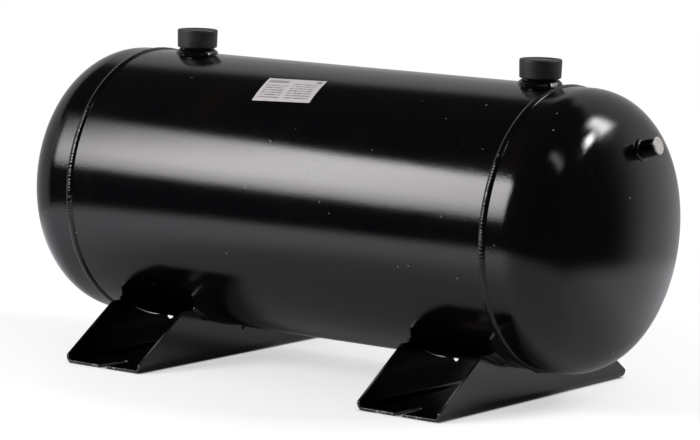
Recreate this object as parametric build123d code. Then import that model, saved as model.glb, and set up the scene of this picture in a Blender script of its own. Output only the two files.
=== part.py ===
from build123d import *

from math import asin, atan2, cos, degrees, hypot, radians, sin, sqrt, tan
import os

# A horizontal pressure receiver: a welded steel tank with dished ends on two folded feet.
# X runs along the tank, Y across it and Z up. Sizes are in millimetres and angles in degrees.
# Every piece is made about the middle of the tank, then moved so that the origin is on the
# floor, under the middle of the whole part.

# The rolled shell
shell_radius = 136.5
shell_wall = 5.0
seam_span = 500.0
axis_height = 168.0

# The dished heads, each with a lip that slips into the shell
head_wall = 5.0
straight_flange = 20.0
dish_depth = 69.0
knuckle_radius = 52.0
lip_length = 12.0
lip_fit = 0.2
joggle_run = 8.0

# The welds, which lie this close to the pieces that they join
weld_gap = 0.05
weld_bulge = 0.3

# The girth welds between the shell and the heads
root_opening = 2.0
root_face = 1.5
bevel_angle = 30.0
bead_overlap = 1.0
bead_crown = 1.9

# The two ports on top, each a threaded boss set through the shell
inlet_x = -198.0
outlet_x = 220.0
port_radius = 17.6
port_collar_height = 7.5
port_thread_radius = 15.9
port_thread_length = 13.5
port_thread_chamfer = 1.2
port_bore_radius = 12.7
port_drop = 4.0
port_fit = 0.2
port_weld_leg = 5.0
port_weld_height = 4.5

# The plastic caps, which stand on the collars of the ports
cap_top_radius = 20.6
cap_bottom_radius = 20.1
cap_fit = 0.25
cap_headroom = 0.4
cap_roof = 2.6
cap_rim_radius = 1.6
cap_mouth_chamfer = 1.2
cap_recess_radius = 15.0
cap_recess_depth = 0.7

# The relief stub, square to the crown of the right head and turned a little from the ports' line,
# and the plug that closes it
stub_radius = 8.6
stub_bore_radius = 5.0
stub_offset = 82.5
stub_turn = 10.0
stub_reach = 17.9
stub_drop = 4.0
stub_fit = 0.15
stub_weld_leg = 2.4
stub_weld_height = 3.2
plug_radius = 8.5
plug_head = 1.6
plug_stem = 9.0
plug_fit = 0.1
plug_chamfer = 0.4

# The two feet, each folded from one plate
foot_offset = 180.0
foot_width = 95.0
foot_length = 326.0
foot_plate = 3.0
foot_bend_radius = 4.0
foot_tip_height = 8.5
foot_wall_height = 55.0
foot_shoulder_length = 188.0
saddle_gap = 0.3
notch_radius = 8.0
notch_depth = 6.0
bolt_slot_width = 10.0
bolt_slot_length = 37.0

# The stitch welds between the feet and the shell
stitch_leg = 4.5
stitch_length = 26.0
stitch_overrun = 3.0

# The crown's radius follows from the depth of the dish and the knuckle that it meets.
crown_radius = ((shell_radius - knuckle_radius) ** 2 + dish_depth**2 - knuckle_radius**2) / (
    2 * (dish_depth - knuckle_radius)
)
seam_x = seam_span / 2
inner_radius = shell_radius - shell_wall
groove_foot = root_opening / 2
groove_edge = groove_foot + (shell_wall - root_face) * tan(radians(bevel_angle))
head_tip_x = seam_x + straight_flange + dish_depth
crown_centre_x = head_tip_x - crown_radius
stub_tilt = degrees(asin(stub_offset / crown_radius))

# The stub stands out past the right head, so the middle of the whole part is right of the tank's.
plug_tip_distance = crown_radius + stub_reach + plug_head
plug_tip_x = (
    crown_centre_x
    + plug_tip_distance * cos(radians(stub_tilt))
    + (plug_radius - plug_chamfer) * sin(radians(stub_tilt))
)
to_frame = Pos((head_tip_x - max(plug_tip_x, head_tip_x)) / 2, 0, axis_height)


# A closed outline in the XZ plane, turned about the tank's axis.
def turned(outline, sweep=360):
    return revolve(Plane.XZ * make_face(outline), Axis.X, sweep)


# A closed outline of radius and height, turned about an upright axis.
def upright(outline):
    return revolve(Plane.XZ * make_face(outline), Axis.Z)


# Sets a shape that was made about Z = 0 on top of the shell.
def on_shell(shape, x):
    return Pos(x, 0, shell_radius) * shape


# Sets a shape that was made about Z = 0 on the crown of the right head, square to it.
def on_crown(shape):
    tilted = Rot(0, 90 - stub_tilt, 0) * Pos(0, 0, crown_radius) * shape
    return Rot(-stub_turn, 0, 0) * Pos(crown_centre_x, 0, 0) * tilted


# A solid cylinder along the tank's axis, to cut what sits on the shell to its curve.
def tank_cylinder(radius):
    return Rot(0, 90, 0) * Cylinder(radius, 2 * head_tip_x)


# An upright tube between two heights.
def tube(outer, inner, bottom, top):
    length = top - bottom
    wall = Cylinder(outer, length) - Cylinder(inner, length)
    return Pos(0, 0, bottom + length / 2) * wall


# A fillet weld round a post, with a slightly rounded face. Its foot is lower than its corner by
# the drop of the curved surface that it runs out on.
def fillet_weld(post_radius, leg, height, drop):
    inner = post_radius + weld_gap
    outer = post_radius + leg
    face_length = hypot(outer - inner, height + drop)
    middle = (
        (inner + outer) / 2 + weld_bulge * (height + drop) / face_length,
        (height - drop) / 2 + weld_bulge * (outer - inner) / face_length,
    )
    sides = Polyline((outer, -drop), (outer, -drop - leg), (inner, -drop - leg), (inner, height))
    return upright(sides + ThreePointArc((inner, height), middle, (outer, -drop)))


# The rolled tube, bevelled at both ends, with a round hole for each port
def make_shell():
    end = seam_x - groove_foot
    shoulder = seam_x - groove_edge
    outline = Polyline(
        (-end, inner_radius),
        (end, inner_radius),
        (end, inner_radius + root_face),
        (shoulder, shell_radius),
        (-shoulder, shell_radius),
        (-end, inner_radius + root_face),
        close=True,
    )
    shell = turned(outline)
    for x in (inlet_x, outlet_x):
        shell -= on_shell(Cylinder(port_radius + port_fit, 2 * shell_radius), x)
    return shell


# A point on an arc in the XZ plane, at an angle above the tank's axis
def arc_point(centre, radius, angle):
    return (centre[0] + radius * cos(radians(angle)), centre[1] + radius * sin(radians(angle)))


# The knuckle and crown of a head's profile, on the outside or a wall further in
def dish_curves(wall):
    knuckle_centre = (seam_x + straight_flange, shell_radius - knuckle_radius)
    crown_centre = (crown_centre_x, 0)
    meet = degrees(atan2(knuckle_centre[1], knuckle_centre[0] - crown_centre_x))
    knuckle = [arc_point(knuckle_centre, knuckle_radius - wall, a) for a in (90, (90 + meet) / 2, meet)]
    crown = [arc_point(crown_centre, crown_radius - wall, a) for a in (meet, meet / 2, 0)]
    return ThreePointArc(*knuckle), ThreePointArc(*crown)


# A dished end: crown, knuckle, straight flange and a lip set in by one wall to fit the shell
def make_head():
    knuckle, crown = dish_curves(0)
    inner_knuckle, inner_crown = dish_curves(head_wall)
    lip_radius = inner_radius - lip_fit
    rim = Polyline(
        knuckle @ 0,
        (seam_x + groove_edge, shell_radius),
        (seam_x + groove_foot, inner_radius + root_face),
        (seam_x + groove_foot, lip_radius),
        (seam_x - lip_length, lip_radius),
        (seam_x - lip_length, lip_radius - head_wall),
        (seam_x, lip_radius - head_wall),
        (seam_x + joggle_run, shell_radius - head_wall),
        inner_knuckle @ 0,
    )
    tip = Line(crown @ 1, inner_crown @ 1)
    return turned(rim + knuckle + crown + tip + inner_knuckle + inner_crown)


# The bead that fills the groove at a seam and stands proud of it all round
def make_girth_weld():
    edge = groove_edge + bead_overlap
    outer = shell_radius + weld_gap
    groove = Polyline(
        (seam_x - edge, outer),
        (seam_x - groove_edge + weld_gap, outer),
        (seam_x - groove_foot + weld_gap, inner_radius + root_face),
        (seam_x - groove_foot + weld_gap, inner_radius),
        (seam_x + groove_foot - weld_gap, inner_radius),
        (seam_x + groove_foot - weld_gap, inner_radius + root_face),
        (seam_x + groove_edge - weld_gap, outer),
        (seam_x + edge, outer),
    )
    crown = ThreePointArc((seam_x + edge, outer), (seam_x, outer + bead_crown), (seam_x - edge, outer))
    return turned(groove + crown)


# A boss set through the shell: a plain collar and, above it, the thread that the cap covers
def make_port(x):
    thread_top = port_collar_height + port_thread_length
    collar = tube(port_radius, port_bore_radius, -shell_wall - port_drop, port_collar_height)
    thread = tube(port_thread_radius, port_bore_radius, port_collar_height, thread_top)
    rim = thread.edges().filter_by(GeomType.CIRCLE).group_by(Axis.Z)[-1].sort_by(SortBy.RADIUS)[-1]
    return on_shell(collar + chamfer(rim, port_thread_chamfer), x)


# The fillet weld round a port, cut to the shell's curve
def make_port_weld(x):
    foot_radius = port_radius + port_weld_leg
    drop = shell_radius - sqrt(shell_radius**2 - foot_radius**2)
    weld = fillet_weld(port_radius, port_weld_leg, port_weld_height, drop)
    return on_shell(weld, x) - tank_cylinder(shell_radius + weld_gap)


# A plastic cap on a port: a tapered skirt, a rounded rim and a shallow recess in its top
def make_cap(x):
    roof_bottom = port_collar_height + port_thread_length + cap_headroom
    top = roof_bottom + cap_roof
    bore = port_thread_radius + cap_fit
    outline = Polyline(
        (0, roof_bottom),
        (bore, roof_bottom),
        (bore, port_collar_height),
        (cap_bottom_radius - cap_mouth_chamfer, port_collar_height),
        (cap_bottom_radius, port_collar_height + cap_mouth_chamfer),
        (cap_top_radius, top),
        (cap_recess_radius + cap_recess_depth, top),
        (cap_recess_radius, top - cap_recess_depth),
        (0, top - cap_recess_depth),
        close=True,
    )
    cap = upright(outline)
    rim = cap.edges().filter_by(GeomType.CIRCLE).group_by(Axis.Z)[-1].sort_by(SortBy.RADIUS)[-1]
    return on_shell(fillet(rim, cap_rim_radius), x)


# The relief stub: a short tube let into the head
def make_relief_stub():
    return on_crown(tube(stub_radius, stub_bore_radius, -head_wall - stub_drop, stub_reach))


# The fillet weld round the stub, cut to the crown's curve
def make_stub_weld():
    foot_radius = stub_radius + stub_weld_leg
    drop = crown_radius - sqrt(crown_radius**2 - foot_radius**2)
    weld = fillet_weld(stub_radius, stub_weld_leg, stub_weld_height, drop)
    return on_crown(weld) - Pos(crown_centre_x, 0, 0) * Sphere(crown_radius + weld_gap)


# The plug: a turned disc on the stub's end and a stem in its bore
def make_relief_plug():
    disc = Cylinder(plug_radius, plug_head)
    rim = disc.edges().filter_by(GeomType.CIRCLE).sort_by(Axis.Z)[-1]
    disc = Pos(0, 0, stub_reach + plug_head / 2) * chamfer(rim, plug_chamfer)
    stem = Cylinder(stub_bore_radius - plug_fit, plug_stem)
    return on_crown(disc + Pos(0, 0, stub_reach - plug_stem / 2) * stem)


# The right head has the round hole that the stub goes through.
def make_right_head():
    return make_head() - on_crown(Cylinder(stub_radius + stub_fit, 4 * head_wall))


# The folded plate seen from its end: a U with rounded bends
def channel_section():
    upwards = (Align.CENTER, Align.MIN)
    outside = Rectangle(foot_width, foot_wall_height, align=upwards)
    outside = fillet(outside.vertices().sort_by(Axis.Y)[:2], foot_bend_radius + foot_plate)
    inside = Pos(0, foot_plate) * Rectangle(foot_width - 2 * foot_plate, foot_wall_height, align=upwards)
    inside = fillet(inside.vertices().sort_by(Axis.Y)[:2], foot_bend_radius)
    return outside - inside


# The foot seen from the side: blunt tips, sloped ends, and a saddle with a round notch at its foot
def side_outline():
    tip_y = foot_length / 2
    shoulder_y = foot_shoulder_length / 2
    outline = Polyline(
        (-tip_y, 0),
        (tip_y, 0),
        (tip_y, foot_tip_height),
        (shoulder_y, foot_wall_height),
        (-shoulder_y, foot_wall_height),
        (-tip_y, foot_tip_height),
        close=True,
    )
    saddle = Pos(0, axis_height) * Circle(shell_radius + saddle_gap)
    notch_centre = axis_height - shell_radius - notch_depth + notch_radius
    return make_face(outline) - saddle - Pos(0, notch_centre) * Circle(notch_radius)


# A foot: one plate bent up along both edges, cut to the tank and slotted for a bolt at each end
def make_foot(x):
    folded = extrude(Plane.XZ * channel_section(), foot_length / 2, both=True)
    foot = folded & extrude(Plane.YZ * side_outline(), foot_width, both=True)
    slot_centre = foot_length / 2 - bolt_slot_length + bolt_slot_width / 2
    run_out = foot_length / 2 - slot_centre
    for end in (-1, 1):
        slot = Pos(0, end * slot_centre) * Circle(bolt_slot_width / 2)
        slot += Pos(0, end * (slot_centre + run_out)) * Rectangle(bolt_slot_width, 2 * run_out)
        foot -= extrude(slot, 2 * foot_plate, both=True)
    return Pos(x, 0, -axis_height) * foot


# Two stitch welds in the corner between the shell and one face of a foot, from its shoulders down
def make_stitches(x, side):
    face_x = x + side * foot_width / 2
    inner = shell_radius + weld_gap
    shoulder = degrees(asin((axis_height - foot_wall_height) / (shell_radius + saddle_gap)))
    start = shoulder - degrees(stitch_overrun / shell_radius)
    corner = (face_x + side * weld_gap, inner)
    toe = (face_x + side * stitch_leg, inner)
    head = (face_x + side * weld_gap, inner + stitch_leg)
    bulge = stitch_leg / 2 + weld_bulge
    face = ThreePointArc(toe, (face_x + side * bulge, inner + bulge), head)
    bead = turned(Polyline(head, corner, toe) + face, degrees(stitch_length / shell_radius))
    near = Rot(90 + start, 0, 0) * bead
    return near + mirror(near, Plane.XZ)


def main():
    pieces = {
        "shell": make_shell(),
        "left_head": mirror(make_head(), Plane.YZ),
        "right_head": make_right_head(),
        "left_girth_weld": mirror(make_girth_weld(), Plane.YZ),
        "right_girth_weld": make_girth_weld(),
        "relief_stub": make_relief_stub(),
        "relief_stub_weld": make_stub_weld(),
        "relief_plug": make_relief_plug(),
    }
    for port, x in (("inlet", inlet_x), ("outlet", outlet_x)):
        pieces[f"{port}_boss"] = make_port(x)
        pieces[f"{port}_boss_weld"] = make_port_weld(x)
        pieces[f"{port}_cap"] = make_cap(x)
    for foot, end in (("left", -1), ("right", 1)):
        pieces[f"{foot}_foot"] = make_foot(end * foot_offset)
        pieces[f"{foot}_foot_outer_welds"] = make_stitches(end * foot_offset, end)
        pieces[f"{foot}_foot_inner_welds"] = make_stitches(end * foot_offset, -end)

    os.makedirs("parts", exist_ok=True)
    for name, shape in pieces.items():
        export_step(to_frame * shape, f"parts/{name}.step")
    whole = Compound(children=[to_frame * shape for shape in pieces.values()]).bounding_box()
    print("crown radius", round(crown_radius, 2), "tilt", round(stub_tilt, 2), "shift", to_frame.position)
    print("box", whole.min, whole.max)


main()
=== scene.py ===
import math

import bmesh
import bpy
import numpy as np
from mathutils import Matrix, Quaternion, Vector


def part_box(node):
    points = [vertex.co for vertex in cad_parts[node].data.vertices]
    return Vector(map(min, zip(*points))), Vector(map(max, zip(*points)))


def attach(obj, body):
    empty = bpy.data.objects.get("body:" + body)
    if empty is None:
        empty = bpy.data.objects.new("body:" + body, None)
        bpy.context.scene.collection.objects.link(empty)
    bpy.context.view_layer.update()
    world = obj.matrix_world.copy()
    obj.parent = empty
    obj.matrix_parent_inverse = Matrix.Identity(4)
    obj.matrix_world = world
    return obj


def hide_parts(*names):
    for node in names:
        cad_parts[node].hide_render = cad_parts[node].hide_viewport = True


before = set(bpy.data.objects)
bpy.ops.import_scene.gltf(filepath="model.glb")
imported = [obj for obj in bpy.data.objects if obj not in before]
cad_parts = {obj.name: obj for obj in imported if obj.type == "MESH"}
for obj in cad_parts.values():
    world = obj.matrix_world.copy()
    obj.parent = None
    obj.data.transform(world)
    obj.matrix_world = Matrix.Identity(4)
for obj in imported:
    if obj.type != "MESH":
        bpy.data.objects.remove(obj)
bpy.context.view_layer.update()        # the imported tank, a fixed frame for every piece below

scene = bpy.context.scene
lowCorner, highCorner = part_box("shell")
tankMiddle = (np.array(lowCorner) + np.array(highCorner)) / 2      # middle of the tank, metres
mm = 0.001                                                         # pieces are worked out in millimetres
print("frame loaded,", len(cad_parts), "nodes, tank middle", tankMiddle.round(5))

# The tank's own measures, the same as the solids
tank = dict(radius=136.5, wall=5.0, axisHeight=168.0, seamX=250.0, flange=20.0, dish=69.0, knuckle=52.0,
            lip=12.0, lipFit=0.2, joggle=8.0, grooveEdge=3.02, rootEdge=1.0, rootFace=1.5)
# The crown is the sphere through the pole that touches the knuckle's arc.
crownRadius = ((tank["radius"] - tank["knuckle"]) ** 2 + tank["dish"] ** 2 - tank["knuckle"] ** 2) / (
    2 * (tank["dish"] - tank["knuckle"]))
crownCentre = tank["seamX"] + tank["flange"] + tank["dish"] - crownRadius


# adds a shader node: a setting is the value of the input of that name, or else a property of the node
def addNode(tree, kind, **settings):
    node = tree.nodes.new("ShaderNode" + kind)
    for key, value in settings.items():
        if key in node.inputs:
            node.inputs[key].default_value = value
        else:
            setattr(node, key, value)
    return node


# joins an output to an input, and a plain number or colour is set on the input itself
def feed(tree, source, target):
    if isinstance(source, bpy.types.NodeSocket):
        tree.links.new(source, target)
    else:
        target.default_value = source


# one arithmetic node, or a chain of the same operation for more than two values
def calc(tree, operation, *values, clamp=False):
    result = values[0]
    for value in values[1:] or (0.0,):
        node = addNode(tree, "Math", operation=operation, use_clamp=clamp)
        feed(tree, result, node.inputs[0])
        feed(tree, value, node.inputs[1])
        result = node.outputs[0]
    return result


def plus(tree, *values, **clamp):
    return calc(tree, "ADD", *values, **clamp)


def times(tree, *values, **clamp):
    return calc(tree, "MULTIPLY", *values, **clamp)


# low to high becomes toLow to toHigh, smooth at both ends
def ramp(tree, value, low, high, toLow=0.0, toHigh=1.0):
    node = addNode(tree, "MapRange", interpolation_type="SMOOTHSTEP")
    feed(tree, value, node.inputs[0])
    for slot, limit in zip((1, 2, 3, 4), (low, high, toLow, toHigh)):
        feed(tree, limit, node.inputs[slot])
    return node.outputs[0]


# colour a where the factor is 0, colour b where it is 1
def mixColour(tree, factor, a, b):
    node = addNode(tree, "Mix", data_type="RGBA")
    for slot, source in zip((0, 6, 7), (factor, a, b)):
        feed(tree, source, node.inputs[slot])
    return node.outputs[2]


# shader a where the factor is 0, shader b where it is 1
def mixShader(tree, factor, a, b):
    node = addNode(tree, "MixShader")
    for slot, source in zip((0, 1, 2), (factor, a.outputs[0], b.outputs[0])):
        feed(tree, source, node.inputs[slot])
    return node


# the x, y and z of a vector
def split(tree, vector):
    node = addNode(tree, "SeparateXYZ")
    feed(tree, vector, node.inputs[0])
    return node.outputs


# a noise pattern, 0 to 1
def noiseAt(tree, vector, scale, detail=2.0, roughness=0.5, distortion=0.0):
    node = addNode(tree, "TexNoise", Detail=detail, Roughness=roughness, Distortion=distortion)
    feed(tree, scale, node.inputs["Scale"])
    feed(tree, vector, node.inputs["Vector"])
    return node.outputs[0]


# noise about zero, from minus amount to plus amount
def swing(tree, vector, scale, amount, **settings):
    centred = calc(tree, "SUBTRACT", noiseAt(tree, vector, scale, **settings), 0.5)
    return times(tree, centred, times(tree, amount, 2.0))


# stretches or turns a pattern's coordinates
def mapped(tree, vector, scale=(1, 1, 1), rotation=(0, 0, 0)):
    node = addNode(tree, "Mapping", Scale=scale, Rotation=rotation)
    feed(tree, vector, node.inputs["Vector"])
    return node.outputs[0]


number, colour, vectorKind = "NodeSocketFloat", "NodeSocketColor", "NodeSocketVector"


# an empty node group, its inputs given as (name, kind, value) and its outputs as (name, kind)
def newGroup(name, inputs, outputs):
    tree = bpy.data.node_groups.new(name, "ShaderNodeTree")
    for title, kind, value in inputs:
        socket = tree.interface.new_socket(title, in_out="INPUT", socket_type=kind)
        if value is not None:
            socket.default_value = value
    for title, kind in outputs:
        tree.interface.new_socket(title, in_out="OUTPUT", socket_type=kind)
    return tree, tree.nodes.new("NodeGroupInput").outputs, tree.nodes.new("NodeGroupOutput").inputs


# places a group in a finish with that finish's own values
def useGroup(tree, group, **values):
    node = addNode(tree, "Group", node_tree=group)
    for title, value in values.items():
        feed(tree, value, node.inputs[title])
    return node.outputs


lacquer = dict(grainFiner=1.7, grainShare=0.65, waveScale=13.0, rippleScale=42.0, rippleShare=0.16,
               rippleStretch=(0.35, 1, 1), driftScale=8.0, mottleScale=60.0, mottleShare=0.6)


# Sprayed lacquer: orange peel of small cells, a finer grain in it and slow waves of the plate, as a height in
# millimetres, and a gloss that drifts from place to place.
def makeLacquerSkin():
    tree, given, out = newGroup(
        "lacquerSkin",
        [("Vector", vectorKind, None), ("PeelScale", number, 270.0), ("PeelHeight", number, 0.01),
         ("WaveHeight", number, 0.1), ("Gloss", number, 0.12), ("Drift", number, 0.03)],
        [("Height", number), ("Roughness", number)])
    place = given["Vector"]
    cells = swing(tree, place, given["PeelScale"], given["PeelHeight"], detail=1.0, roughness=0.4)
    grain = swing(tree, place, times(tree, given["PeelScale"], lacquer["grainFiner"]),
                  times(tree, given["PeelHeight"], lacquer["grainShare"]), detail=1.0)
    waves = swing(tree, place, lacquer["waveScale"], given["WaveHeight"], detail=0.0)
    ripples = swing(tree, mapped(tree, place, scale=lacquer["rippleStretch"]), lacquer["rippleScale"],
                    times(tree, given["WaveHeight"], lacquer["rippleShare"]))
    drift = swing(tree, place, lacquer["driftScale"], given["Drift"])
    mottle = swing(tree, place, lacquer["mottleScale"],
                   times(tree, given["Drift"], lacquer["mottleShare"]), detail=3.0)
    feed(tree, plus(tree, cells, grain, waves, ripples), out["Height"])
    feed(tree, plus(tree, given["Gloss"], plus(tree, drift, mottle), clamp=True), out["Roughness"])
    return tree


# Grit caught in the paint: rare small round specks, as a mask. A cell's own colour says whether it has a speck,
# and how large the speck is.
def makeGrit():
    smallest = 0.4       # share of the size that the smallest speck keeps
    tree, given, out = newGroup(
        "grit", [("Vector", vectorKind, None), ("Scale", number, 60.0), ("Size", number, 0.03),
                 ("Share", number, 0.1)], [("Mask", number)])
    spots = addNode(tree, "TexVoronoi")
    feed(tree, given["Vector"], spots.inputs["Vector"])
    feed(tree, given["Scale"], spots.inputs["Scale"])
    channels = addNode(tree, "SeparateColor")
    feed(tree, spots.outputs["Color"], channels.inputs[0])
    chosen = calc(tree, "LESS_THAN", channels.outputs[0], given["Share"])
    radius = times(tree, given["Size"], plus(tree, smallest, channels.outputs[1]))
    inside = calc(tree, "LESS_THAN", spots.outputs["Distance"], radius)
    feed(tree, times(tree, chosen, inside), out["Mask"])
    return tree


blackTones = dict(cool=(0.0012, 0.0012, 0.0019, 1), warm=(0.0032, 0.0019, 0.0016, 1), dust=(0.3, 0.29, 0.28, 1),
                  patchScale=7.0, patchEdge=(0.5, 0.72), dustScale=34.0, dustEdge=(0.45, 0.85))


# The tone of the black: it drifts between a cool black and a warm brown black, with a faint film of dust.
def makeBlackTone():
    tree, given, out = newGroup(
        "blackTone",
        [("Vector", vectorKind, None), ("Cool", colour, blackTones["cool"]), ("Warm", colour, blackTones["warm"]),
         ("Dust", colour, blackTones["dust"]), ("DustAmount", number, 0.004), ("Specks", number, 0.0)],
        [("Color", colour)])
    place = given["Vector"]
    patches = noiseAt(tree, place, blackTones["patchScale"], detail=3.0, distortion=0.4)
    black = mixColour(tree, ramp(tree, patches, *blackTones["patchEdge"]), given["Cool"], given["Warm"])
    settled = noiseAt(tree, place, blackTones["dustScale"], detail=5.0, roughness=0.7)
    film = times(tree, ramp(tree, settled, *blackTones["dustEdge"]), given["DustAmount"])
    dusty = mixColour(tree, plus(tree, film, given["Specks"], clamp=True), black, given["Dust"])
    feed(tree, dusty, out["Color"])
    return tree


wear = dict(coarseScale=55.0, fineScale=420.0, leastWorn=0.42, reach=0.22, softness=0.04)


# Wear along an edge: the edge's own mask broken up by two noises.
def makeEdgeWear():
    tree, given, out = newGroup(
        "edgeWear", [("Vector", vectorKind, None), ("Edge", number, 0.0), ("Amount", number, 0.5)],
        [("Mask", number)])
    coarse = noiseAt(tree, given["Vector"], wear["coarseScale"], detail=3.0, roughness=0.6)
    fine = noiseAt(tree, given["Vector"], wear["fineScale"], detail=3.0, roughness=0.7)
    limit = calc(tree, "SUBTRACT", wear["leastWorn"], times(tree, given["Amount"], wear["reach"]))
    over = calc(tree, "SUBTRACT", times(tree, coarse, fine), limit)
    feed(tree, times(tree, ramp(tree, over, 0.0, wear["softness"]), given["Edge"]), out["Mask"])
    return tree


lacquerSkin, grit, blackTone, edgeWear = makeLacquerSkin(), makeGrit(), makeBlackTone(), makeEdgeWear()


# an empty finish: its shader, and the place on the piece that its patterns read
def newMaterial(name):
    material = bpy.data.materials.new(name)
    material.use_nodes = True
    tree = material.node_tree
    tree.nodes.clear()
    shader = addNode(tree, "BsdfPrincipled")
    tree.links.new(shader.outputs[0], addNode(tree, "OutputMaterial").inputs["Surface"])
    return material, tree, shader, addNode(tree, "TexCoord").outputs["Object"]


# joins a finish to its shader: tone, roughness, and a height in millimetres that bumps the surface
def dress(tree, shader, tone, rough, height):
    bump = addNode(tree, "Bump", Strength=1.0, Distance=mm)
    feed(tree, height, bump.inputs["Height"])
    for source, socket in ((tone, "Base Color"), (rough, "Roughness"), (bump.outputs[0], "Normal")):
        feed(tree, source, shader.inputs[socket])


# The black lacquer in its several thicknesses: on the plates, on the weld beads, on the fittings and on the feet
paints = dict(
    platePaint=dict(peelScale=760.0, peelHeight=0.027, waveHeight=0.10, gloss=0.11, drift=0.04, gritShare=0.7),
    beadPaint=dict(peelScale=520.0, peelHeight=0.016, waveHeight=0.02, gloss=0.07, drift=0.02, gritShare=0.03),
    fittingPaint=dict(peelScale=380.0, peelHeight=0.008, waveHeight=0.02, gloss=0.10, drift=0.03, gritShare=0.02),
    footPaint=dict(peelScale=330.0, peelHeight=0.012, waveHeight=0.05, gloss=0.13, drift=0.04, gritShare=0.3,
                   edge=0.6, dust=0.008, ior=1.68))
marks = dict(speckScale=62.0, speckSize=0.034, dashScale=75.0, dashSize=0.022, dashStretch=(0.16, 1, 1),
             dashTurn=(0, 0.3, 0.2), dashShare=0.4, speckHeight=0.05, speckRoughness=0.3,
             wornTone=(0.3, 0.28, 0.26, 1), wornRoughness=0.25, wornDepth=0.05)


# A paint: the lacquer's skin and tone, grit in it as round specks and as faint dashes, and worn edges if asked
def makeBlackPaint(name, peelScale, peelHeight, waveHeight, gloss, drift, gritShare, edge=0.0, dust=0.004, ior=1.5):
    material, tree, shader, place = newMaterial(name)
    skin = useGroup(tree, lacquerSkin, Vector=place, PeelScale=peelScale, PeelHeight=peelHeight,
                    WaveHeight=waveHeight, Gloss=gloss, Drift=drift)
    along = mapped(tree, place, scale=marks["dashStretch"], rotation=marks["dashTurn"])
    dots = useGroup(tree, grit, Vector=place, Scale=marks["speckScale"], Size=marks["speckSize"], Share=gritShare)
    dashes = useGroup(tree, grit, Vector=along, Scale=marks["dashScale"], Size=marks["dashSize"], Share=gritShare)
    specks = calc(tree, "MAXIMUM", dots["Mask"], times(tree, dashes["Mask"], marks["dashShare"]))
    tone = useGroup(tree, blackTone, Vector=place, DustAmount=dust, Specks=specks)["Color"]
    height = plus(tree, skin["Height"], times(tree, specks, marks["speckHeight"]))
    rough = plus(tree, skin["Roughness"], times(tree, specks, marks["speckRoughness"]))
    if edge:
        edgeFlag = addNode(tree, "Attribute", attribute_name="cutEdge").outputs["Fac"]
        worn = useGroup(tree, edgeWear, Vector=place, Edge=edgeFlag, Amount=edge)["Mask"]
        tone = mixColour(tree, worn, tone, marks["wornTone"])
        rough = plus(tree, rough, times(tree, worn, marks["wornRoughness"]))
        height = calc(tree, "SUBTRACT", height, times(tree, worn, marks["wornDepth"]))
    shader.inputs["IOR"].default_value = ior
    dress(tree, shader, tone, rough, height)
    return material


platePaint, beadPaint, fittingPaint, footPaint = (makeBlackPaint(name, **values) for name, values in paints.items())

moulding = dict(grainScale=1500.0, grainHeight=0.012, flowScale=90.0, flowHeight=0.02, flowStretch=(1, 1, 6),
                handledScale=70.0, handledEdge=(0.35, 0.75), dark=(0.016, 0.0145, 0.014, 1),
                pale=(0.03, 0.027, 0.026, 1), roughness=0.42, handledRoughness=0.14,
                dust=(0.2, 0.19, 0.18, 1), dustShare=0.5)


# Moulded plastic: a fine spark grain, faint flow lines round the cap and a light bloom of dust
def makeCapPlastic():
    material, tree, shader, place = newMaterial("capPlastic")
    grain = swing(tree, place, moulding["grainScale"], moulding["grainHeight"])
    stretched = mapped(tree, place, scale=moulding["flowStretch"])
    flow = swing(tree, stretched, moulding["flowScale"], moulding["flowHeight"])
    touched = noiseAt(tree, place, moulding["handledScale"], detail=4.0, roughness=0.65)
    handled = ramp(tree, touched, *moulding["handledEdge"])
    tone = mixColour(tree, handled, moulding["dark"], moulding["pale"])
    specks = useGroup(tree, grit, Vector=place, Scale=150.0, Size=0.05, Share=0.04)["Mask"]
    tone = mixColour(tree, times(tree, specks, moulding["dustShare"]), tone, moulding["dust"])
    rough = plus(tree, moulding["roughness"], times(tree, handled, moulding["handledRoughness"]))
    shader.inputs["IOR"].default_value = 1.5
    dress(tree, shader, tone, rough, plus(tree, grain, flow))
    return material


steel = dict(ringScale=4200.0, ringDepth=0.02, stainScale=330.0, stainEdge=(0.4, 0.75), clean=(0.72, 0.68, 0.65, 1),
             stained=(0.5, 0.46, 0.43, 1), roughness=0.38, stainRoughness=0.12)


# Turned steel: rings about the plug's own axis, read from its ring attribute, with small stains
def makeBareSteel():
    material, tree, shader, place = newMaterial("bareSteel")
    ring = addNode(tree, "Attribute", attribute_name="ringRadius").outputs["Fac"]
    lines = addNode(tree, "TexNoise", noise_dimensions="1D", Scale=1.0, Detail=3.0, Roughness=0.7)
    feed(tree, times(tree, ring, steel["ringScale"]), lines.inputs["W"])
    stains = ramp(tree, noiseAt(tree, place, steel["stainScale"], detail=4.0, roughness=0.6), *steel["stainEdge"])
    rough = plus(tree, steel["roughness"], times(tree, stains, steel["stainRoughness"]))
    shader.inputs["Metallic"].default_value = 1.0
    tone = mixColour(tree, stains, steel["clean"], steel["stained"])
    dress(tree, shader, tone, rough, times(tree, lines.outputs[0], steel["ringDepth"]))
    return material


# The label's print, as shares of its width and height: boxes are (left, right), (bottom, top)
sheet = dict(rows=10.0, cells=96.0, rowInk=(0.32, 0.68), blankShare=0.24, ink=(0.1, 0.1, 0.11, 1),
             greyPaper=(0.56, 0.53, 0.54, 1), palePaper=(0.68, 0.65, 0.65, 1), blotchScale=60.0,
             leftColumn=((0.06, 0.42), (0.1, 0.7)), rightColumn=((0.5, 0.92), (0.1, 0.8)), dashInk=0.9,
             heading=((0.05, 0.4), (0.79, 0.9)), headingInk=0.6, corner=((0.86, 0.95), (0.84, 0.93)), cornerInk=0.85,
             roughness=0.33, blotchRoughness=0.12, creaseScale=240.0, creaseHeight=0.012)


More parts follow.
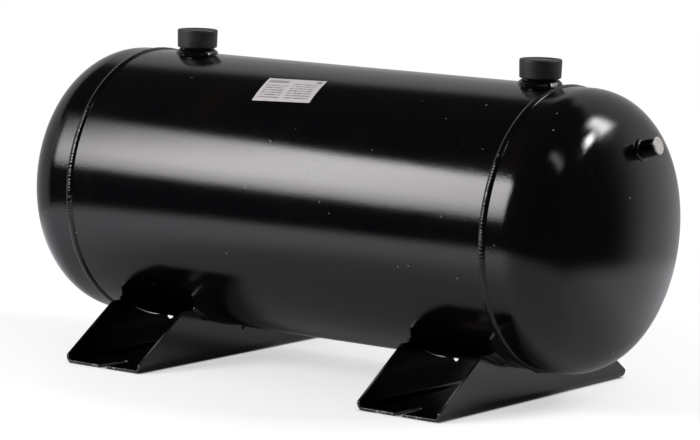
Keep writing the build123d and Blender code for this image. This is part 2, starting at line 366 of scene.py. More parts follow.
# 1 where a value lies between two limits, 0 outside
def between(tree, value, low, high):
    return times(tree, calc(tree, "GREATER_THAN", value, low), calc(tree, "LESS_THAN", value, high))


# A printed label with no words: rows of plain grey dashes in two columns and a rule, on white film. Each row is
# cut into cells, and a throw for each cell says whether it is inked.
def makeLabelFilm():
    material, tree, shader, place = newMaterial("labelFilm")
    u, v, _ = split(tree, addNode(tree, "UVMap", uv_map="labelMap").outputs[0])

    def box(name):
        across, up = sheet[name]
        return times(tree, between(tree, u, *across), between(tree, v, *up))

    rowPlace = times(tree, v, sheet["rows"])
    inRow = between(tree, calc(tree, "FRACT", rowPlace), *sheet["rowInk"])
    cell = addNode(tree, "CombineXYZ")
    feed(tree, calc(tree, "FLOOR", times(tree, u, sheet["cells"])), cell.inputs[0])
    feed(tree, calc(tree, "FLOOR", rowPlace), cell.inputs[1])
    dice = addNode(tree, "TexWhiteNoise", noise_dimensions="2D")
    feed(tree, cell.outputs[0], dice.inputs["Vector"])
    dashes = times(tree, inRow, calc(tree, "GREATER_THAN", dice.outputs["Value"], sheet["blankShare"]))
    columns = times(tree, dashes, plus(tree, box("leftColumn"), box("rightColumn")), clamp=True)
    ink = plus(tree, times(tree, columns, sheet["dashInk"]), times(tree, box("heading"), sheet["headingInk"]),
               times(tree, box("corner"), sheet["cornerInk"]), clamp=True)
    blotch = noiseAt(tree, place, sheet["blotchScale"], detail=3.0)
    paper = mixColour(tree, blotch, sheet["greyPaper"], sheet["palePaper"])
    rough = plus(tree, sheet["roughness"], times(tree, blotch, sheet["blotchRoughness"]))
    creases = swing(tree, place, sheet["creaseScale"], sheet["creaseHeight"])
    dress(tree, shader, mixColour(tree, ink, paper, sheet["ink"]), rough, creases)
    return material


capPlastic, bareSteel, labelFilm = makeCapPlastic(), makeBareSteel(), makeLabelFilm()
print("finishes made:", ", ".join(m.name for m in bpy.data.materials if m.users))


# The quads of a grid: each joins a point, the next in its column and the next in its row.
# A closed direction also joins its last line to its first.
def gridQuads(rows, columns, closedRows, closedColumns):
    row, column = np.meshgrid(np.arange(rows if closedRows else rows - 1),
                              np.arange(columns if closedColumns else columns - 1), indexing="ij")
    nextRow, nextColumn = (row + 1) % rows, (column + 1) % columns
    quads = np.stack([row * columns + column, nextRow * columns + column,
                      nextRow * columns + nextColumn, row * columns + nextColumn], -1)
    return quads.reshape(-1, 4)


# A mesh from grids of points in millimetres about the tank's middle. Where it is merged, points that meet at a
# seam or a pole become one, and faces are turned outwards.
def gridMesh(name, grids, merge=True):
    points, quads, base = [], [], 0
    for grid, closedRows, closedColumns in grids:
        rows, columns = grid.shape[:2]
        points.append(grid.reshape(-1, 3))
        quads.append(gridQuads(rows, columns, closedRows, closedColumns) + base)
        base += rows * columns
    points = np.concatenate(points) * mm + tankMiddle
    quads = np.concatenate(quads)
    mesh = bpy.data.meshes.new(name)
    mesh.vertices.add(len(points))
    mesh.vertices.foreach_set("co", points.ravel().astype(np.float32))
    mesh.loops.add(quads.size)
    mesh.loops.foreach_set("vertex_index", quads.ravel().astype(np.int32))
    mesh.polygons.add(len(quads))
    mesh.polygons.foreach_set("loop_start", np.arange(0, quads.size, 4, dtype=np.int32))
    mesh.update(calc_edges=True)
    mesh.validate()
    if merge:
        shape = bmesh.new()
        shape.from_mesh(mesh)
        bmesh.ops.remove_doubles(shape, verts=shape.verts, dist=2e-6)
        bmesh.ops.recalc_face_normals(shape, faces=shape.faces)
        shape.to_mesh(mesh)
        shape.free()
    return mesh


# Makes a mesh a piece of the tank, in place of the solid that it dresses. sharp is the angle from which its edges
# stay crisp, in degrees.
def addPiece(name, mesh, material, node=None, slot="black_paint", sharp=50.0):
    mesh.polygons.foreach_set("use_smooth", np.ones(len(mesh.polygons), bool))
    if sharp:
        mesh.set_sharp_from_angle(angle=math.radians(sharp))
    mesh.materials.clear()
    mesh.materials.append(material)
    piece = bpy.data.objects.new(name, mesh)
    scene.collection.objects.link(piece)
    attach(piece, "root")
    if node:
        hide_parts(node)
    return piece


# grids made a piece in one go
def makePiece(name, grids, *look, **more):
    return addPiece(name, gridMesh(name, grids), *look, **more)


# angles once round, the last one a step short of the first
def roundAngles(count):
    return np.arange(count) * 2 * np.pi / count


# A profile with rounded corners, each given as (across, up, radius). The arc touches both runs at
# radius / tan(half the corner) and its centre lies on the bisector at radius / sin(half the corner).
def roundedProfile(corners, closed=True, steps=5):
    tiny, straight = 1e-9, math.pi / 2 - 1e-4
    corners = np.array(corners, float)
    place, radius = corners[:, :2], corners[:, 2:]
    before = np.roll(place, 1, axis=0) - place
    after = np.roll(place, -1, axis=0) - place
    before /= np.maximum(np.linalg.norm(before, axis=1, keepdims=True), tiny)
    after /= np.maximum(np.linalg.norm(after, axis=1, keepdims=True), tiny)
    half = np.arccos(np.clip((before * after).sum(1, keepdims=True), -1, 1)) / 2
    half = np.clip(half, 1e-3, straight)
    bisector = before + after
    bisector /= np.maximum(np.linalg.norm(bisector, axis=1, keepdims=True), tiny)
    centre = place + bisector * radius / np.sin(half)
    start = place + before * radius / np.tan(half) - centre
    end = place + after * radius / np.tan(half) - centre
    sweep = (math.pi - 2 * half)[:, None]
    t = np.linspace(0, 1, steps)[None, :, None]
    arc = (np.sin((1 - t) * sweep) * start[:, None] + np.sin(t * sweep) * end[:, None]) / np.sin(sweep)
    path = centre[:, None] + arc
    if not closed:
        path[0], path[-1] = place[0], place[-1]
    return path.reshape(-1, 2)


# The same profile with a point close to both ends of each long run and others along it, so that a flat
# run keeps a flat shade: every run is cut at gap, at even shares and at gap from its end.
def heldProfile(path, closed=True, gap=0.25, cuts=3):
    start = path if closed else path[:-1]
    end = np.roll(path, -1, axis=0) if closed else path[1:]
    length = np.maximum(np.linalg.norm(end - start, axis=1, keepdims=True), 1e-9)
    edge = np.minimum(gap / length, 1 / (cuts + 2))[..., None]
    t = np.linspace(0, 1, cuts)[None, :, None]
    share = np.concatenate([0 * edge, edge + (1 - 2 * edge) * t], 1)
    cut = (start[:, None] + (end - start)[:, None] * share).reshape(-1, 2)
    return cut if closed else np.concatenate([cut, path[-1:]])


# Turns a profile of (distance, radius) about the tank's axis: (d, r cos a, r sin a).
def turnAlong(profile, count):
    angle = roundAngles(count)
    d, r = profile[:, :1], profile[:, 1:]
    return np.stack([d + 0 * angle, r * np.cos(angle), r * np.sin(angle)], -1)


# Points about an upright axis: (r cos a, r sin a, h).
def upright(r, h, angle):
    return np.stack([r * np.cos(angle), r * np.sin(angle), h + 0 * angle], -1)


# Turns a profile of (radius, height) about an upright axis.
def turnUpright(profile, count):
    return upright(profile[:, :1], profile[:, 1:], roundAngles(count))


# A slow unevenness round a ring or along a bead: a sum of sines of whole frequencies, about 1 at most.
def wobble(angle, seed, low=2, high=30):
    chance = np.random.default_rng(seed)
    k = np.arange(low, high)
    size = chance.normal(size=len(k)) / np.sqrt(k)
    phase = chance.uniform(0, 2 * np.pi, len(k))
    wave = (size * np.sin(np.asarray(angle)[..., None] * k + phase)).sum(-1)
    return wave / (np.abs(wave).max() + 1e-9)


# The crescents of a weld bead: each pass rises fast and falls off slowly, 0 to 1.
def crescents(phase):
    share = phase - np.floor(phase)
    return np.sin(np.pi * share ** 0.7) ** 1.3


# holds are further points on the flange that keep it straight, from the seam, and the last one from the groove
head = dict(crownSteps=60, knuckleSteps=34, facets=288, holds=(14.0, 8.0), lastHold=0.3)


# Closed profile of a head from (distance, radius): the crown's arc runs from the pole to the knuckle, then the
# knuckle's arc to the straight flange, then back along the inside, a wall further in.
def headProfile():
    r, inner, x = tank["radius"], tank["radius"] - tank["wall"], tank["seamX"]
    flange, knuckleY = x + tank["flange"], r - tank["knuckle"]
    meet = math.atan2(knuckleY, flange - crownCentre)      # where the crown touches the knuckle
    crown = np.linspace(0, meet, head["crownSteps"])
    bend = np.linspace(meet, math.pi / 2, head["knuckleSteps"])[1:]

    def face(offset):
        big, small = crownRadius - offset, tank["knuckle"] - offset
        return np.concatenate([np.stack([crownCentre + big * np.cos(crown), big * np.sin(crown)], -1),
                               np.stack([flange + small * np.cos(bend), knuckleY + small * np.sin(bend)], -1)])

    lipTop = inner - tank["lipFit"]
    lipBottom = lipTop - tank["wall"]
    edge, root, lipEnd = x + tank["grooveEdge"], x + tank["rootEdge"], x - tank["lip"]
    holds = [(x + hold, r) for hold in head["holds"]] + [(edge + head["lastHold"], r)]
    rim = np.array(holds + [(edge, r), (root, inner + tank["rootFace"]), (root, lipTop), (lipEnd, lipTop),
                            (lipEnd, lipBottom), (x, lipBottom), (x + tank["joggle"], inner)])
    return np.concatenate([face(0.0), rim, face(tank["wall"])[::-1]])


headGrid = turnAlong(headProfile(), head["facets"])
for end, way in (("right", 1), ("left", -1)):
    grid = headGrid * np.array([way, 1, 1])
    makePiece(end + "HeadDish", [(grid, False, True)], platePaint, end + "_head", sharp=30)
print("heads made")

girthBead = dict(halfWidth=3.95, crown=1.7, seat=0.04, rootHalf=0.95, grooveHalf=2.95, steps=13, samples=8,
                 pitch=2.9, ripple=0.26, weakest=0.3, strongest=1.6, level=0.5, bow=0.55, pace=0.7, sway=0.4,
                 widthDrift=0.06, crownDrift=0.12, shoulder=0.85)


# A girth weld: across, a low arch that sways a little along the seam; round the tank, crescents of uneven pace and
# strength. Underneath it fills the groove between the plates.
def girthWeld(name, node, side, seed):
    size = girthBead
    r = tank["radius"] + size["seat"]
    count = int(2 * np.pi * r / size["pitch"])
    angle = roundAngles(count * size["samples"])
    across = np.sin(np.linspace(-np.pi / 2, np.pi / 2, size["steps"]))[:, None]
    arch = 1 - across ** 2
    phase = angle * count / (2 * np.pi) + size["pace"] * wobble(angle, seed + 3, 20, 90) + size["bow"] * across ** 2
    throws = np.random.default_rng(seed).uniform(size["weakest"], size["strongest"], count)
    strength = throws[np.floor(phase).astype(int) % count]
    width = size["halfWidth"] * (1 + size["widthDrift"] * wobble(angle, seed))
    x = tank["seamX"] + size["sway"] * wobble(angle, seed + 1, 2, 14) * arch + across * width
    body = size["crown"] * arch ** size["shoulder"] * (1 + size["crownDrift"] * wobble(angle, seed + 2))
    rise = body + size["ripple"] * arch * strength * (crescents(phase) - size["level"])
    top = np.stack([x, (r + rise) * np.cos(angle), (r + rise) * np.sin(angle)], -1)
    inner = tank["radius"] - tank["wall"]
    root, groove = size["rootHalf"], size["grooveHalf"]
    filling = np.array([(groove, r), (root, inner + tank["rootFace"]), (root, inner), (-root, inner),
                        (-root, inner + tank["rootFace"]), (-groove, r)])
    bottom = turnAlong(filling + np.array([tank["seamX"], 0]), len(angle))
    ring = np.concatenate([top, bottom]) * np.array([side, 1, 1])
    makePiece(name, [(ring, True, True)], beadPaint, node)


girthWeld("rightGirthBead", "right_girth_weld", 1, 11)
girthWeld("leftGirthBead", "left_girth_weld", -1, 23)
print("girth welds made")


# How far a fillet weld stands out, s going from 0 to 1 across its face: an arc, and crescents bowed at mid-face.
def filletBulge(s, phase, size, ripple):
    lift = 4 * s * (1 - s)
    passes = crescents(phase + size["bow"] * (s - 0.5) ** 2)
    return size["bulge"] * lift + ripple * lift * (passes - size["level"])


fillet = dict(samples=8, faceSteps=13, backSteps=5, postGap=0.05, seat=0.04, unevenness=0.07, follow=0.7,
              bulge=0.55, bow=0.7, level=0.4)


# The weld ring round a post on a curved plate: its face runs from the post down to a toe that lies on the plate,
# bulged by an arc and crossed by crescents. plateHeight gives the plate's height at a radius and angle.
def weldRing(postRadius, plateHeight, seed, leg, height, toeSpread, ripples, ripple):
    angle = roundAngles(ripples * fillet["samples"])
    s = np.linspace(0, 1, fillet["faceSteps"])[:, None]
    inner = postRadius + fillet["postGap"]
    uneven = 1 + fillet["unevenness"] * wobble(angle, seed, 2, 16)
    toe = (postRadius + leg * uneven) - toeSpread * np.cos(angle) ** 2
    topHeight = height * uneven + fillet["follow"] * plateHeight(inner, angle)
    toeHeight = plateHeight(toe, angle) + fillet["seat"]
    faceLength = np.hypot(toe - inner, topHeight - toeHeight)
    out = filletBulge(s, angle * ripples / (2 * np.pi), fillet, ripple)
    r = inner + (toe - inner) * s + out * (topHeight - toeHeight) / faceLength
    z = topHeight + (toeHeight - topHeight) * s + out * (toe - inner) / faceLength
    back = inner + (toe - inner) * np.linspace(1, 0, fillet["backSteps"])[1:, None]
    under = upright(back, plateHeight(back, angle) + fillet["seat"], angle)
    return np.concatenate([upright(r, z, angle), under])


port = dict(inletX=-198.0, outletX=220.0, radius=17.6, collar=7.5, bore=12.7, drop=4.0, facets=96,
            threadRadius=15.9, threadLength=13.5, threadSteps=72, pitch=2.117, threadDepth=0.75, lead=1.2)
portBead = dict(leg=5.0, height=4.4, toeSpread=1.5, ripples=46, ripple=0.22)


# stands a shape made about zero on top of the shell
def onShell(points, x):
    return points + np.array([x, 0, tank["radius"]])


# height of the shell beside a port, below its top line
def shellDrop(r, angle):
    return np.sqrt(tank["radius"] ** 2 - (r * np.sin(angle)) ** 2) - tank["radius"]


# The boss: a turned profile whose upper part carries a helical thread. At height h and angle a the thread
# cuts in by a triangle wave of h / pitch - a, faded out at both ends.
def portBoss(name, node, x):
    bore, collar, post, lead = port["bore"], port["collar"], port["threadRadius"], port["lead"]
    top = collar + port["threadLength"]
    low = -tank["wall"] - port["drop"]
    base = roundedProfile([(bore, low, 0.2), (port["radius"], low, 0.3), (port["radius"], collar, 0.5),
                           (post, collar, 0.15)], closed=False)
    heights = np.linspace(collar + 0.2, top - lead, port["threadSteps"])
    thread = np.stack([np.full(port["threadSteps"], post), heights], -1)
    end = np.array([(post - lead, top), (bore + 0.3, top), (bore, top - 0.3)])
    profile = np.concatenate([heldProfile(base, closed=False), thread, end])
    radius, height = profile[:, :1], profile[:, 1:]
    grid = turnUpright(profile, port["facets"])
    saw = np.abs(2 * ((height / port["pitch"] - roundAngles(port["facets"]) / (2 * np.pi)) % 1) - 1)
    fade = np.clip((height - collar - 1.0) / lead, 0, 1) * np.clip((top - lead - 0.1 - height) / 1.0, 0, 1)
    fade = fade * (radius > post - 0.01) * (radius < port["radius"] - 0.3)
    grid[..., :2] *= (1 - port["threadDepth"] * saw * fade / post)[..., None]
    makePiece(name, [(onShell(grid, x), True, True)], fittingPaint, node, sharp=34)


cap = dict(topRadius=20.6, bottomRadius=20.1, bore=16.15, roofBottom=21.4, roof=2.6, rim=1.6, skirt=1.8,
           skirtBore=17.85, lead=0.6, recess=15.0, recessDepth=0.7, gate=1.2, facets=128)


# The cap: one turned profile with a rounded rim, a shallow dished recess and a small gate mark in its middle.
# Its skirt reaches down round the boss's collar.
def plasticCap(name, node, x):
    roofBottom, bore, skirtBore, gate = cap["roofBottom"], cap["bore"], cap["skirtBore"], cap["gate"]
    top = roofBottom + cap["roof"]
    dish = top - cap["recessDepth"]
    mouth, step = port["collar"] - cap["skirt"], port["collar"] + 0.1
    corners = [(0, roofBottom, 0), (bore, roofBottom, 0.4), (bore, step, 0.2), (skirtBore, step, 0.1),
               (skirtBore, mouth, 0.2), (cap["bottomRadius"] - cap["lead"], mouth, 0.4),
               (cap["bottomRadius"], mouth + 0.9, 0.6), (cap["topRadius"], top, cap["rim"]),
               (cap["recess"] + 0.9, top, 0.35), (cap["recess"], dish, 0.35),
               (gate + 0.4, dish + 0.05, 0.2), (gate, dish + 0.35, 0.15), (0, dish + 0.38, 0)]
    profile = heldProfile(roundedProfile(corners, closed=False, steps=7), closed=False)
    grid = onShell(turnUpright(profile, cap["facets"]), x)
    makePiece(name, [(grid, False, True)], capPlastic, node, "cap_plastic")


for side, x, seed in (("inlet", port["inletX"], 5), ("outlet", port["outletX"], 17)):
    portBoss(side + "Boss", side + "_boss", x)
    ring = onShell(weldRing(port["radius"], shellDrop, seed, **portBead), x)
    makePiece(side + "BossBead", [(ring, True, True)], beadPaint, side + "_boss_weld")
    plasticCap(side + "Cap", side + "_cap", x)
print("ports made")

# The stub leans up from the tank's axis and stands a little behind it.
stub = dict(radius=8.6, bore=5.0, reach=17.9, drop=4.0, plugRadius=8.5, plugHead=1.6, plugStem=9.0, facets=96,
            aboveAxis=82.5, turn=10.0)
stubBead = dict(leg=2.4, height=3.1, toeSpread=0.0, ripples=26, ripple=0.16)
stubTilt, stubTurn = math.asin(stub["aboveAxis"] / crownRadius), math.radians(stub["turn"])


# Stands a shape made about zero square on the right head's crown: leant from the tank's axis by the tilt, then
# turned about that axis towards the back.
def onCrown(points):
    c, s = math.cos(stubTilt), math.sin(stubTilt)
    lean = np.array([[s, 0, c], [0, 1, 0], [-c, 0, s]])
    c, s = math.cos(stubTurn), math.sin(stubTurn)
    turn = np.array([[1, 0, 0], [0, c, s], [0, -s, c]])
    return (points + np.array([0, 0, crownRadius])) @ (turn @ lean).T + np.array([crownCentre, 0, 0])


# height of the crown beside the stub
def crownDrop(r, angle):
    return np.sqrt(crownRadius ** 2 - r ** 2) - crownRadius + 0 * angle


# The stub: a turned pipe with broken edges, and the weld ring at its foot.
def reliefStub():
    bore, outside, low = stub["bore"], stub["radius"], -tank["wall"] - stub["drop"]
    corners = [(bore, low, 0.2), (outside, low, 0.2), (outside, stub["reach"], 0.35), (bore, stub["reach"], 0.2)]
    pipe = onCrown(turnUpright(heldProfile(roundedProfile(corners)), stub["facets"]))
    makePiece("reliefStub", [(pipe, True, True)], fittingPaint, "relief_stub")
    ring = onCrown(weldRing(outside, crownDrop, 31, **stubBead))
    makePiece("reliefStubBead", [(ring, True, True)], beadPaint, "relief_stub_weld")


# The plug's disc is turned with fine rings: each point keeps its own distance from the plug's axis for them.
def reliefPlug():
    bottom, face = stub["reach"], stub["reach"] + stub["plugHead"]
    stem, stemEnd, seat = stub["bore"] - 0.1, bottom - stub["plugStem"], bottom + 0.02
    corners = [(0, stemEnd, 0), (stem, stemEnd, 0.3), (stem, seat, 0), (stub["plugRadius"], seat, 0.1),
               (stub["plugRadius"], face, 0.48), (0.9, face - 0.05, 0.2), (0.5, face - 0.25, 0.1),
               (0, face - 0.3, 0)]
    profile = heldProfile(roundedProfile(corners, closed=False, steps=6), closed=False, cuts=5)
    grid = onCrown(turnUpright(profile, stub["facets"]))
    mesh = makePiece("reliefPlug", [(grid, False, True)], bareSteel, "relief_plug", "bare_steel").data
    co = np.empty(len(mesh.vertices) * 3, np.float32)
    mesh.vertices.foreach_get("co", co)
    offset = (co.reshape(-1, 3) - tankMiddle) / mm - np.array([crownCentre, 0, 0])
    axis = onCrown(np.array([0, 0, 1 - crownRadius])) - np.array([crownCentre, 0, 0])      # a step along the plug
    away = np.linalg.norm(offset - (offset @ axis)[:, None] * axis, axis=1) * mm
    mesh.attributes.new("ringRadius", "FLOAT", "POINT").data.foreach_set("value", away.astype(np.float32))


reliefStub()
reliefPlug()
print("relief stub made")

foot = dict(offset=180.0, width=95.0, edgeRound=0.45, roundSteps=2, roundOver=32.0, flatWithin=0.6, lean=0.3,
            plumb=0.1, otherWear=0.06)


# A foot keeps the folded plate's solid shape: a merged copy of it, whose edges are rounded by a bevel. Faces whose
# normal leans along the foot are its cut edges: the upright ones wear, the others hardly.
def foldedFoot(name, node):
    shape = bmesh.new()
    shape.from_mesh(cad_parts[node].data)
    bmesh.ops.remove_doubles(shape, verts=shape.verts, dist=1e-5)
    bmesh.ops.dissolve_limit(shape, angle_limit=math.radians(foot["flatWithin"]), verts=shape.verts,
                             edges=shape.edges)
    mesh = bpy.data.meshes.new(name)
    shape.to_mesh(mesh)
    shape.free()
    piece = addPiece(name, mesh, footPaint, node, sharp=30)
    normal = np.empty(len(mesh.polygons) * 3)
    mesh.polygons.foreach_get("normal", normal)
    x, y, z = np.abs(normal.reshape(-1, 3)).T
    leaning = (y > foot["lean"]) & (x < foot["lean"])
    standing = leaning & (z < foot["plumb"])
    flag = np.where(standing, 1.0, np.where(leaning, foot["otherWear"], 0.0)).astype(np.float32)
    mesh.attributes.new("cutEdge", "FLOAT", "FACE").data.foreach_set("value", flag)
    bevel = piece.modifiers.new("roundedEdges", "BEVEL")
    bevel.width = foot["edgeRound"] * mm
    bevel.segments = foot["roundSteps"]
    bevel.limit_method = "ANGLE"
    bevel.angle_limit = math.radians(foot["roundOver"])
    bevel.harden_normals = True


stitch = dict(leg=4.4, length=26.0, shoulderHeight=55.0, saddleGap=0.3, overrun=3.0, seat=0.05, steps=121,
              faceSteps=11, pitch=2.3, ripple=0.25, bulge=0.3, bow=0.8, level=0.4, slant=0.707, unevenness=0.1)


# A stitch weld in the corner between the shell and a foot's wall. Along the seam it follows the shell, from below
# the shoulder down; across, a quarter of a rounded corner. It swells from nothing at both ends.
def stitchWelds(name, node, x, side, seed):
    r = tank["radius"] + stitch["seat"]
    shoulder = math.asin((tank["axisHeight"] - stitch["shoulderHeight"]) / (tank["radius"] + stitch["saddleGap"]))
    start = shoulder - stitch["overrun"] / tank["radius"]
    t = np.linspace(0, 1, stitch["steps"])
    angle = start + t * stitch["length"] / tank["radius"]
    swell = (1 - np.abs(2 * t - 1) ** 7) ** 0.5
    s = np.linspace(0, 1, stitch["faceSteps"])[:, None]
    leg = stitch["leg"] * swell * (1 + stitch["unevenness"] * wobble(t * 6, seed))
    out = filletBulge(s, t * stitch["length"] / stitch["pitch"], stitch, stitch["ripple"]) * swell
    across = leg * (1 - s) + out * stitch["slant"]
    up = leg * s + out * stitch["slant"]
    corner = np.zeros((1, len(t)))
    across, up = np.concatenate([across, corner]), np.concatenate([up, corner])
    faceX = x + side * (foot["width"] / 2 + stitch["seat"])
    beads = [(np.stack([faceX + side * across, way * (r + up) * np.cos(angle), -(r + up) * np.sin(angle)], -1),
              True, False) for way in (-1, 1)]
    makePiece(name, beads, beadPaint, node)


for end, way, seed in (("left", -1, 41), ("right", 1, 53)):
    foldedFoot(end + "FootPlate", end + "_foot")
    stitchWelds(end + "FootOuterBeads", end + "_foot_outer_welds", way * foot["offset"], way, seed)
    stitchWelds(end + "FootInnerBeads", end + "_foot_inner_welds", way * foot["offset"], -way, seed + 6)
print("feet made")

label = dict(centreX=-25.1, centreAngle=58.5, width=68.0, height=37.0, turn=3.4, thickness=0.12, lift=0.03,
             curl=0.35, curlWidth=0.07, curlHeight=0.12, columns=61, rows=37)


# The label: a rectangle bent round the shell. (x, arc) is turned by a few degrees, the arc becomes an angle round
# the tank, and the film has come away a little at its upper right corner.
def makeLabel():
    u, v = np.meshgrid(np.linspace(0, 1, label["columns"]), np.linspace(0, 1, label["rows"]), indexing="ij")
    along, up = (u - 0.5) * label["width"], (v - 0.5) * label["height"]
    turn = math.radians(label["turn"])
    x = label["centreX"] + along * math.cos(turn) - up * math.sin(turn)
    arc = along * math.sin(turn) + up * math.cos(turn)
    r = tank["radius"] + label["lift"] + label["thickness"]
    angle = math.radians(label["centreAngle"]) + arc / r
    wide, tall = label["curlWidth"], label["curlHeight"]
    r = r + label["curl"] * np.clip((u - 1 + wide) / wide, 0, 1) ** 2 * np.clip((v - 1 + tall) / tall, 0, 1) ** 2
    grid = np.stack([x, -r * np.cos(angle), r * np.sin(angle)], -1)
    mesh = gridMesh("shellLabel", [(grid, False, False)], merge=False)
    piece = addPiece("shellLabel", mesh, labelFilm, slot="cap_plastic", sharp=0)
    corner = np.empty(len(mesh.loops), np.int32)
    mesh.loops.foreach_get("vertex_index", corner)
    chart = np.stack([u.ravel(), v.ravel()], -1)[corner]
    mesh.uv_layers.new(name="labelMap").data.foreach_set("uv", chart.ravel().astype(np.float32))
    film = piece.modifiers.new("filmThickness", "SOLIDIFY")
    film.thickness = label["thickness"] * mm
    film.offset = -1


makeLabel()
print("label made")

# The rolled shell keeps its solid, in the plate paint.
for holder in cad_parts["shell"].material_slots:
    holder.link = "OBJECT"
    holder.material = platePaint
print("shell painted")

# The studio is in metres. For the camera the floor is pale near the tank and fades to white. For the paint it glows
# to the left and behind, more so away from the tank, and ends softly. Its glow is held low near the tank and left
# out under the feet, both painted shade.
floor = dict(radius=0.95, rings=24, facets=96, tone=(0.62, 0.62, 0.62, 1), roughness=0.6, lift=0.57,
             white=(0.5, 0.93), footSide=(0.044, 0.05), footEnd=(0.158, 0.168), leftGlow=(0.05, 0.3, 1.0, 0.0),
             backGlow=(0.02, 0.2, 0.0, 0.6), glowPastTankShade=(0.28, 0.5, 0.02, 0.5), glowTint=(0.9, 0.885, 1, 1),
             softEnd=(0.64, 0.92))


# The floor: a flat disc of rings about the tank, (r cos a, r sin a, 0).
def makeFloor():
    radius = np.linspace(0, floor["radius"], floor["rings"]) / mm
    disc = turnUpright(np.stack([radius, np.full(floor["rings"], -tankMiddle[2] / mm)], -1), floor["facets"])
    holder = bpy.data.objects.new("studioFloor", gridMesh("studioFloor", [(disc, False, True)]))
    scene.collection.objects.link(holder)
    material, tree, shader, place = newMaterial("studioFloor")
    holder.data.materials.append(material)
    feed(tree, floor["tone"], shader.inputs["Base Color"])
    shader.inputs["Roughness"].default_value = floor["roughness"]
    x, y, _ = split(tree, place)
    length = addNode(tree, "VectorMath", operation="LENGTH")
    feed(tree, place, length.inputs[0])
    away = length.outputs["Value"]
    path = addNode(tree, "LightPath").outputs
    byEye, byPaint = path["Is Camera Ray"], path["Is Glossy Ray"]

    # painted shade under the feet: the floor's own glow, for the camera and for the paint, is left out where a foot
    # stands
    fromMiddle = calc(tree, "ABSOLUTE", calc(tree, "SUBTRACT", x, float(tankMiddle[0])))
    fromFoot = calc(tree, "ABSOLUTE", calc(tree, "SUBTRACT", fromMiddle, foot["offset"] * mm))
    outsideFootShade = calc(tree, "MAXIMUM", ramp(tree, fromFoot, *floor["footSide"]),
                     ramp(tree, calc(tree, "ABSOLUTE", y), *floor["footEnd"]))
    glow = calc(tree, "MAXIMUM", ramp(tree, x, *floor["leftGlow"]), ramp(tree, y, *floor["backGlow"]))
    # painted shade: near the tank the glow that the paint mirrors is held low, standing in for the tank's shadow on
    # the floor
    mirrored = times(tree, glow, ramp(tree, away, *floor["glowPastTankShade"]), byPaint)
    lifted = plus(tree, times(tree, byEye, floor["lift"]), mirrored)
    lift = addNode(tree, "Emission")
    feed(tree, mixColour(tree, byEye, floor["glowTint"], (1, 1, 1, 1)), lift.inputs["Color"])
    feed(tree, times(tree, lifted, outsideFootShade), lift.inputs["Strength"])
    near = addNode(tree, "AddShader")
    tree.links.new(shader.outputs[0], near.inputs[0])
    tree.links.new(lift.outputs[0], near.inputs[1])

    white = addNode(tree, "Emission", Color=(1, 1, 1, 1))
    feed(tree, byEye, white.inputs["Strength"])
    clear = addNode(tree, "BsdfTransparent", Color=(1, 1, 1, 1))
    ended = mixShader(tree, times(tree, ramp(tree, away, *floor["softEnd"]), byPaint), near, clear)
    faded = mixShader(tree, times(tree, ramp(tree, away, *floor["white"]), byEye), ended, white)
    tree.links.new(faded.outputs[0], tree.get_output_node("ALL").inputs["Surface"])


makeFloor()


# The softbox is brightest right of its middle and falls off slowly to the left and to its lower edge.
def hotMiddle(tree, across, up):
    return times(tree, ramp(tree, across, 0.2, 0.6, 0.03, 1.28), ramp(tree, across, 0.55, 1.1, 1.0, 0.6),
                 ramp(tree, up, 0.0, 0.4, 0.5, 1.0))


# a lamp that fades out at all its edges
def softEdges(tree, across, up, side=0.4, end=0.3):
    return times(tree, ramp(tree, across, 0.0, side), ramp(tree, across, 1.0 - side, 1.0, 1.0, 0.0),
                 ramp(tree, up, 0.0, end), ramp(tree, up, 1.0 - end, 1.0, 1.0, 0.0))


# A large softbox on the left, and three small lamps placed from where the right head mirrors them
headSide = (0.312, -0.055, 0.1)
lamps = dict(
    softboxLeft=dict(compass=-44, height=24, width=1.6, tall=1.0, radiance=9.0, tint=(1.0, 0.975, 0.985),
                     shape=hotMiddle),
    spotBack=dict(compass=121.3, height=33, width=0.4, tall=0.5, radiance=34.0, about=headSide),
    stripBack=dict(compass=138, height=37, width=0.6, tall=1.3, radiance=14.5, about=headSide),
    streakRight=dict(compass=68, height=48.5, width=0.13, tall=1.4, radiance=5.2, about=headSide, lean=39.0))


# A soft lamp at a compass angle from the front (towards +X) and a height above the horizon, both in degrees, facing
# the tank. Its power follows from the radiance that its face should show: radiance x pi x area.
def softLamp(name, compass, height, width, tall, radiance, tint=(1, 1, 1), about=(0, 0, 0), lean=0.0, distance=2.0,
             shape=softEdges):
    a, e = math.radians(compass), math.radians(height)
    way = Vector((math.sin(a) * math.cos(e), -math.cos(a) * math.cos(e), math.sin(e)))
    lamp = bpy.data.lights.new(name, "AREA")
    lamp.shape = "RECTANGLE"
    lamp.size, lamp.size_y = width, tall
    lamp.energy = radiance * math.pi * width * tall
    lamp.color = tint
    lamp.use_nodes = True
    tree = lamp.node_tree
    across, up, _ = split(tree, addNode(tree, "NewGeometry").outputs["Parametric"])
    glow = next(n for n in tree.nodes if n.type == "EMISSION")
    feed(tree, shape(tree, across, up), glow.inputs["Strength"])
    holder = bpy.data.objects.new(name, lamp)
    scene.collection.objects.link(holder)
    holder.location = Vector(tankMiddle) + Vector(about) + way * distance
    holder.rotation_mode = "QUATERNION"
    holder.rotation_quaternion = way.to_track_quat("Z", "Y") @ Quaternion((0, 0, 1), math.radians(lean))
    holder.visible_camera = False


for name, values in lamps.items():
    softLamp(name, **values)
print("floor and lamps made")

# wallWay points at the middle of the pale walls, and leftEdge and rightEdge say where they end to either side of it.
# alongY and alongX raise their top, from one place to another and from one height to another.
room = dict(white=1.0, fill=0.3, dark=0.032, wall=0.5, wallWay=(-0.643, 0.766), leftEdge=(0.06, 0.2),
            rightEdge=(-0.15, 0.6), alongY=(-0.3, 0.6, 0.46, 0.645), alongX=(-0.5, -0.1, 0.0, 0.22), topBlur=0.05)


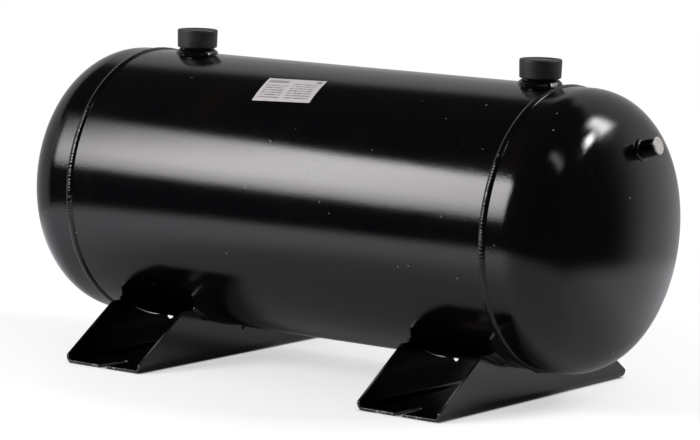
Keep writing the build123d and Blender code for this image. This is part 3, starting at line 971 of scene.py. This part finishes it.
# The room: white for the camera, an even fill for the plain light, and for gloss the room that the paint
# mirrors, which is pale to the left and behind, up to a height, and dark in front and overhead.
def makeRoom():
    world = bpy.data.worlds.new("studioRoom")
    scene.world = world
    world.use_nodes = True
    tree = world.node_tree
    tree.nodes.clear()
    x, y, z = split(tree, addNode(tree, "TexCoord").outputs["Generated"])
    flat = calc(tree, "SQRT", plus(tree, times(tree, x, x), times(tree, y, y)))
    wallX, wallY = room["wallWay"]
    towards = plus(tree, times(tree, x, wallX), times(tree, y, wallY))
    side = calc(tree, "DIVIDE", towards, calc(tree, "MAXIMUM", flat, 0.001))
    isRight = calc(tree, "GREATER_THAN", x, 0.0)
    # the near edge is sharp on the left and dies away slowly on the right
    leftWall = times(tree, ramp(tree, side, *room["leftEdge"]), calc(tree, "SUBTRACT", 1.0, isRight))
    rightWall = times(tree, ramp(tree, side, *room["rightEdge"]), isRight)
    # the wall behind stands higher than the left one, and higher still towards the right
    topEdge = plus(tree, ramp(tree, y, *room["alongY"]), ramp(tree, x, *room["alongX"]))
    low, high = (calc(tree, operation, topEdge, room["topBlur"]) for operation in ("SUBTRACT", "ADD"))
    walls = times(tree, plus(tree, leftWall, rightWall), ramp(tree, z, low, high, 1.0, 0.0))
    mirrored = ramp(tree, walls, 0.0, 1.0, room["dark"], room["wall"])
    path = addNode(tree, "LightPath").outputs
    shiny = calc(tree, "MAXIMUM", path["Is Glossy Ray"], path["Is Transmission Ray"])
    seen = mixColour(tree, shiny, (room["fill"],) * 3 + (1,), mirrored)
    seen = mixColour(tree, path["Is Camera Ray"], seen, (room["white"],) * 3 + (1,))
    light = addNode(tree, "Background", Strength=1.0)
    feed(tree, seen, light.inputs["Color"])
    tree.links.new(light.outputs[0], addNode(tree, "OutputWorld").inputs["Surface"])


makeRoom()

# The camera stands where the photograph was taken from, 3.38 m from the tank. place is from the tank's middle,
# and right, up and back are the camera's own directions.
camera = dict(place=(1.97179, -2.70975, 0.43801), right=(0.80637407, 0.59085987, 0.02540614), lens=174.77,
              up=(-0.09975855, 0.09355058, 0.99060412), back=(0.58293146, -0.80133195, 0.13438009), sensor=36)
eye = bpy.data.cameras.new("photoCamera")
eye.lens = camera["lens"]
eye.sensor_width = camera["sensor"]
eyeHolder = bpy.data.objects.new("photoCamera", eye)
scene.collection.objects.link(eyeHolder)
stance = Matrix((camera["right"], camera["up"], camera["back"])).transposed().to_4x4()
stance.translation = Vector(camera["place"]) + Vector(tankMiddle)
eyeHolder.matrix_world = stance
scene.camera = eyeHolder
scene.view_settings.view_transform = "Standard"
print("studio made")
